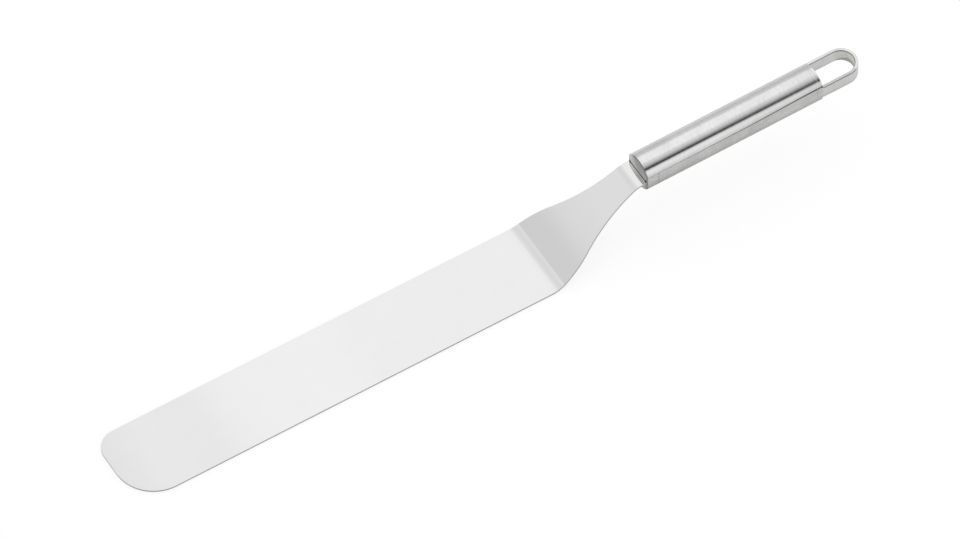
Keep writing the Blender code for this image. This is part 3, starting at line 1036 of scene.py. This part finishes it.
@dataclass
class HangingLoop:
    """A flat strip bent to a U and welded to the rear cap's face."""

    thickness: float = 1.65 * MM
    height: float = 7.8 * MM
    edge_round: float = 0.5 * MM
    half_outside: float = 8.12 * MM
    shift: float = -0.14 * MM
    reach: float = 22.84 * MM
    weld_depth: float = 0.6 * MM
    weld_run: float = 0.9 * MM
    proud: float = 0.52 * MM
    lift: float = 0.7 * MM
    bend_steps: int = 72
    round_steps: int = 6
    scale_steps: int = 4
    near_share: float = 0.85
    bend_share: float = 0.07
    side_split: float = 0.58
    end_split: float = 0.9
    widening_share: float = 0.35
    least_widening: float = 0.1

    def section(self, split: float) -> list[Point2]:
        """The strip's section: offset outwards from the strip's middle, and height.

        Args:
            split: where the one more point of each side stands along it, as a share.

        Returns:
            Points round a rectangle with rounded corners and one more point on each side.
        """
        wide, high = self.thickness / 2 - self.edge_round, self.height / 2 - self.edge_round
        corners = ((wide, high), (-wide, high), (-wide, -high), (wide, -high))
        found = []
        for corner in StripCorner:
            out, up = corners[corner]
            for step in range(self.round_steps + 1):
                angle = math.radians(90 * corner + 90 * step / self.round_steps)
                round_out, round_up = math.cos(angle), math.sin(angle)
                found.append((out + self.edge_round * round_out, up + self.edge_round * round_up))
            next_out, next_up = corners[(corner + 1) % len(corners)]
            run = Vector((next_out - out, next_up - up)) * split
            found.append((found[-1][0] + run.x, found[-1][1] + run.y))
        return found

    def row(self, at: Vector, out: Vector, split: float, proud: float = 0.0) -> list[Vector]:
        """Points round the strip at a station.

        Args:
            at: the strip's middle.
            out: the way outwards from it.
            split: where the section's sides are split, as a share.
            proud: how far the strip's outside is taken back, where it runs into the cap.

        Returns:
            The points.
        """
        limit = self.thickness / 2 - proud
        section = self.section(split)
        return [at + out * min(offset, limit) + Vector((0, 0, up)) for offset, up in section]

    def zone(self, row: int, column: int) -> StripZone:
        """Tells the finish of a face.

        Args:
            row: the face's place along the strip, from the far arm.
            column: its place round the section.

        Returns:
            The finish.
        """
        # A corner has its rounded faces first, then the two that the side after it is split in.
        corner, step = divmod(column, self.round_steps + 2)
        rounded = step < self.round_steps
        starts_above = corner in (StripCorner.INNER_TOP, StripCorner.OUTER_FOOT)
        from_side = self.round_steps - 1 - step if starts_above else step
        in_bend = self.bend_steps * self.bend_share < row <= self.bend_steps + 1
        near_arm = row > self.bend_steps * self.near_share
        if rounded and from_side < self.scale_steps:
            if corner in (StripCorner.OUTER_TOP, StripCorner.OUTER_FOOT):
                return StripZone.EDGE_SCALE if near_arm else StripZone.SATIN
            return StripZone.EDGE_SCALE if in_bend else StripZone.BEND_SCALE
        if corner == StripCorner.INNER_TOP and in_bend and not rounded:
            upper_face = step == self.round_steps
            return StripZone.MANDREL_MARKS if upper_face else StripZone.BEND_SCALE
        if corner == StripCorner.OUTER_TOP and near_arm and not rounded:
            return StripZone.DULLED_TOP
        return StripZone.SATIN

    def path(self) -> list[tuple[Vector, Vector]]:
        """Stations along the strip: its middle, and the way outwards from it.

        Returns:
            Pairs of point and direction in the strip's plane.
        """
        middle = self.half_outside - self.thickness / 2
        straight = self.reach - self.half_outside
        far_end = Vector((self.weld_run, self.shift + middle, self.lift))
        near_end = Vector((self.weld_run, self.shift - middle, self.lift))
        stations = [(far_end, Vector((0, 1, 0)))]
        for step in range(self.bend_steps + 1):
            angle = math.pi / 2 - math.pi * step / self.bend_steps
            out = Vector((math.cos(angle), math.sin(angle), 0))
            stations.append((Vector((straight, self.shift, self.lift)) + middle * out, out))
        stations.append((near_end, Vector((0, -1, 0))))
        return stations

    def build(self, place: Matrix) -> None:
        """Makes the strip and dresses it.

        Args:
            place: the frame that has its origin on the axis at the rear cap's face.
        """
        path = self.path()
        widening = self.bend_steps * self.widening_share
        shares = [max((row - 1) / widening, self.least_widening) for row in range(len(path))]
        splits = [1 - (1 - self.side_split) * min(share, 1) for share in shares]
        rows = [self.row(at, out, split) for (at, out), split in zip(path, splits)]
        back = Vector((self.weld_run + self.weld_depth, 0, 0))
        (far_end, far_out), (near_end, near_out) = path[0], path[-1]
        # Both ends meet the cap equally far from its middle, so the far one is taken back less.
        far_proud = self.proud + 2 * self.shift
        rows.insert(0, self.row(far_end - back, far_out, self.end_split, far_proud))
        rows.append(self.row(near_end - back, near_out, self.end_split, self.proud))
        skins = [STRIP_FINISHES[zone].make() for zone in StripZone]
        strip = new_piece("hanging_loop_strip", loft(rows, True, self.zone), skins, place)
        even_shading(strip)
        enter(strip, "loop_steel", "hanging_loop")


# The studio

# Spans of a direction's angle from straight up, in degrees, and of its part along an axis.
TURN_SPAN = (-180, 180)
PART_SPAN = (-1, 1)


@dataclass(frozen=True)
class Softbox:
    """An overhead lamp that glows softly, stronger from one side to the other.

    Its levels are pairs of a place along X, in metres, and the radiance there.
    """

    name: str
    centre: Point3
    size: Point2
    levels: tuple[Point2, ...]

    def build(self) -> None:
        """Makes the lamp, looking down, unseen by the camera."""
        width, depth = self.size
        lamp = bpy.data.lights.new(self.name, "AREA")
        lamp.shape = "RECTANGLE"
        lamp.size, lamp.size_y = width, depth
        # This power gives a radiance of 1, which the levels then scale.
        lamp.energy = math.pi * width * depth
        lamp.use_nodes = True
        tree = lamp.node_tree
        across = add_node(tree, "ShaderNodeNewGeometry").outputs["Parametric"]
        along_x = add_node(tree, "ShaderNodeSeparateXYZ", None, {0: across}).outputs["X"]
        left = self.centre[0] - width / 2
        shares = tuple(((x - left) / width, level) for x, level in self.levels)
        level = LevelTable((0, 1), shares).lay_over(tree, along_x)
        tree.links.new(level, tree.nodes["Emission"].inputs["Strength"])
        softbox = bpy.data.objects.new(self.name, lamp)
        softbox.location = self.centre
        softbox.visible_camera = False
        bpy.context.scene.collection.objects.link(softbox)


@dataclass
class Studio:
    """A pale floor in a white studio room, a softbox and the photograph's camera."""

    azimuth: float = math.radians(-31.68)
    elevation: float = math.radians(55.27)
    distance: float = 4.7458
    aim: Vector = field(default_factory=lambda: Vector((-0.00491, 0.00012, 0.01532)))
    pixels_per_metre: float = 2173.46
    image_width: int = 960
    sensor_width: float = 36.0
    clip_share: float = 4.0
    floor_size: float = 6.0
    floor_drop: float = 0.3 * MM
    floor_colour: str = "#F2F2F1"
    floor_shadow_share: float = 0.3
    floor_seen_glow: float = 1.145
    floor_mirrored_share: float = 0.2
    # The walls' level by the angle from straight up, positive on the near side.
    room_levels: LevelTable = LevelTable(
        TURN_SPAN,
        (
            (-180, 0.52),
            (-95, 0.6),
            (-66, 0.7),
            (-40, 0.885),
            (-6, 0.875),
            (20, 0.9),
            (64, 0.99),
            (80, 0.84),
            (92, 0.7),
            (180, 0.6),
        ),
    )
    # How dark the gap round the camera is, by the same angle and by the direction's part along X.
    gap_shares: LevelTable = LevelTable(
        TURN_SPAN,
        (
            (0, 0.0),
            (6, 0.04),
            (12, 0.13),
            (18, 0.26),
            (24, 0.46),
            (29.5, 0.66),
            (35, 0.92),
            (42, 0.95),
            (50, 0.16),
            (57, 0.0),
        ),
    )
    gap_sides: LevelTable = LevelTable(
        PART_SPAN, ((-0.65, 0.25), (-0.1, 1.0), (0.65, 1.0), (0.9, 0.3))
    )
    # The walls' level by the direction's part along X, from the blade's side to the loop's.
    side_levels: LevelTable = LevelTable(
        PART_SPAN,
        (
            (-1.0, 0.86),
            (-0.5, 0.86),
            (-0.15, 0.93),
            (0.1, 0.95),
            (0.29, 1.0),
            (0.5, 1.0),
            (1.0, 1.12),
        ),
    )
    softbox: Softbox = Softbox(
        "overhead_softbox",
        centre=(0.3, 0.3, 0.5),
        size=(1.4, 0.6),
        levels=(
            (-0.3595, 0.0),
            (-0.354, 0.08),
            (-0.345, 0.1),
            (-0.328, 0.13),
            (-0.316, 0.14),
            (-0.28, 0.13),
            (-0.22, 0.08),
            (-0.15, 0.05),
            (-0.05, 0.06),
            (-0.02, 0.14),
            (0.0, 0.12),
            (0.01, 0.125),
            (0.022, 0.165),
            (0.042, 0.2),
            (0.09, 0.2),
            (0.105, 0.175),
            (0.3, 0.17),
        ),
    )

    def build(self) -> None:
        """Makes the camera, the floor and the light."""
        self.build_camera()
        self.build_floor()
        self.build_room()
        self.softbox.build()
        bpy.context.scene.view_settings.view_transform = "Standard"

    def build_camera(self) -> None:
        """Places the camera at the photograph's angle, distance and framing."""
        flat = math.cos(self.elevation)
        aside, away = math.sin(self.azimuth) * flat, math.cos(self.azimuth) * flat
        back = Vector((aside, -away, math.sin(self.elevation)))
        lens = bpy.data.cameras.new("photo_camera")
        lens.sensor_width = self.sensor_width
        lens.lens = self.pixels_per_metre * self.distance * self.sensor_width / self.image_width
        lens.clip_end = self.clip_share * self.distance
        camera = bpy.data.objects.new("photo_camera", lens)
        camera.location = self.aim + self.distance * back
        camera.rotation_euler = (math.pi / 2 - self.elevation, 0, self.azimuth)
        bpy.context.scene.collection.objects.link(camera)
        bpy.context.scene.camera = camera

    def build_floor(self) -> None:
        """Makes the floor of matt paper, which looks white and keeps a faint shadow."""
        shape = bmesh.new()
        bmesh.ops.create_grid(shape, x_segments=1, y_segments=1, size=self.floor_size / 2)
        material = bpy.data.materials.new("matt_paper_floor")
        material.use_nodes = True
        tree = material.node_tree
        tree.nodes.clear()
        paper_settings = {"Color": linear(self.floor_colour)}
        paper = add_node(tree, "ShaderNodeBsdfDiffuse", paper_settings).outputs[0]
        glow_settings = {"Color": (1, 1, 1, 1), "Strength": self.floor_seen_glow}
        glow = add_node(tree, "ShaderNodeEmission", glow_settings).outputs[0]
        ray = add_node(tree, "ShaderNodeLightPath").outputs
        mirrored_settings = {"operation": "MULTIPLY_ADD", 1: self.floor_mirrored_share}
        mirrored_links = {0: ray["Is Glossy Ray"], 2: ray["Is Camera Ray"]}
        looked_at = add_node(tree, "ShaderNodeMath", mirrored_settings, mirrored_links).outputs[0]
        seen_links = {0: looked_at, 1: ray["Is Transmission Ray"]}
        seen = add_node(tree, "ShaderNodeMath", {"operation": "MAXIMUM"}, seen_links).outputs[0]
        share_settings = {"operation": "MULTIPLY", 1: 1 - self.floor_shadow_share}
        share = add_node(tree, "ShaderNodeMath", share_settings, {0: seen}).outputs[0]
        mixed_links = {0: share, 1: paper, 2: glow}
        mixed = add_node(tree, "ShaderNodeMixShader", None, mixed_links).outputs[0]
        add_node(tree, "ShaderNodeOutputMaterial", None, {"Surface": mixed})
        low = Matrix.Translation((0, 0, -self.floor_drop))
        new_piece("paper_floor", shape, (material,), low)

    def build_room(self) -> None:
        """Lights the scene with a room that is bright above, with a dark gap round the camera."""
        world = bpy.data.worlds.new("studio_room")
        bpy.context.scene.world = world
        world.use_nodes = True
        tree = world.node_tree
        tree.nodes.clear()
        multiply = {"operation": "MULTIPLY"}
        way = add_node(tree, "ShaderNodeTexCoord").outputs["Generated"]
        split = add_node(tree, "ShaderNodeSeparateXYZ", None, {0: way}).outputs
        front = add_node(tree, "ShaderNodeMath", {**multiply, 1: -1.0}, {0: split["Y"]}).outputs[0]
        turn_links = {0: front, 1: split["Z"]}
        turn = add_node(tree, "ShaderNodeMath", {"operation": "ARCTAN2"}, turn_links).outputs[0]
        degrees = add_node(tree, "ShaderNodeMath", {"operation": "DEGREES"}, {0: turn}).outputs[0]
        level = self.room_levels.lay_over(tree, degrees)
        gap = self.gap_shares.lay_over(tree, degrees)
        gap_side = self.gap_sides.lay_over(tree, split["X"])
        side = self.side_levels.lay_over(tree, split["X"])
        dark = add_node(tree, "ShaderNodeMath", multiply, {0: gap, 1: gap_side}).outputs[0]
        rest_settings = {"operation": "SUBTRACT", 0: 1.0}
        open_share = add_node(tree, "ShaderNodeMath", rest_settings, {1: dark}).outputs[0]
        wall = add_node(tree, "ShaderNodeMath", multiply, {0: level, 1: side}).outputs[0]
        strength = add_node(tree, "ShaderNodeMath", multiply, {0: wall, 1: open_share}).outputs[0]
        white = {"Color": (1, 1, 1, 1)}
        room = add_node(tree, "ShaderNodeBackground", white, {"Strength": strength}).outputs[0]
        backdrop = add_node(tree, "ShaderNodeBackground", {**white, "Strength": 1.0}).outputs[0]
        looked_at = add_node(tree, "ShaderNodeLightPath").outputs["Is Camera Ray"]
        mixed_links = {0: looked_at, 1: room, 2: backdrop}
        mixed = add_node(tree, "ShaderNodeMixShader", None, mixed_links).outputs[0]
        add_node(tree, "ShaderNodeOutputWorld", None, {"Surface": mixed})


def main() -> None:
    """Builds the spatula's sub-assemblies and the studio in order."""
    logging.basicConfig(level=logging.INFO, format="%(name)s: %(message)s")
    blade = BladeSheet()
    handle = Handle()
    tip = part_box("blade")[0].x
    cap = blade.place(blade.run)
    axis_turn = Euler((0, -blade.tilt, 0)).to_matrix().to_4x4()
    axis_frame = Matrix.Translation((tip + cap.x, 0, cap.y)) @ axis_turn
    blade.build(Matrix.Translation((tip, 0, 0)))
    handle.build(axis_frame)
    HangingLoop().build(axis_frame @ Matrix.Translation((handle.length, 0, 0)))
    Studio().build()


if __name__ == "__main__":
    main()
